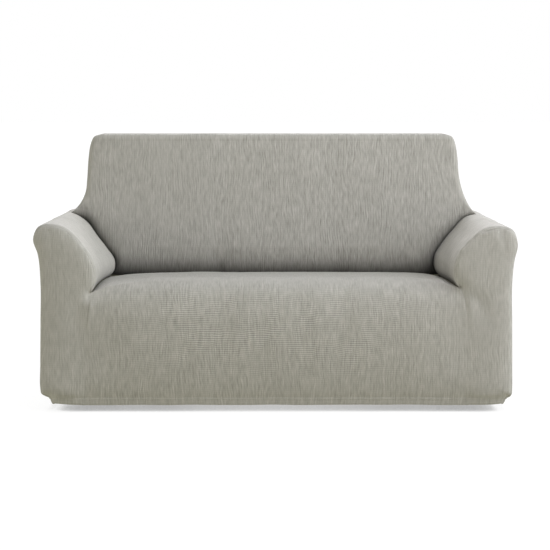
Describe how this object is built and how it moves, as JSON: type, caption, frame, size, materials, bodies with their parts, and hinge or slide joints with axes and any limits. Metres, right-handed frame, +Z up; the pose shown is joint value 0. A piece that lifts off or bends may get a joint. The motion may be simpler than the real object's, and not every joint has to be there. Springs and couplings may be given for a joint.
{
  "type": "sofa slipcover",
  "caption": "Stretch knit slipcover in the shape of a two-seat sofa with rolled arms, hollow and open underneath, with an elastic hem pulled in under the base.",
  "frame": {"origin": "under the cloth of the cover's top, midway along the back, where the sofa's back carries it", "axes": "+X to the right seen from the front, +Y from the front to the back, +Z up"},
  "size_m": [1.5915, 0.8973, 0.8798],
  "materials": {
    "knit": "matte crinkled two-way stretch knit, light warm grey"
  },
  "bodies": {
    "root": {"inside_back": "knit", "outside_back": "knit", "front": "knit", "arm_left": "knit", "arm_right": "knit"}
  },
  "joints": []
}
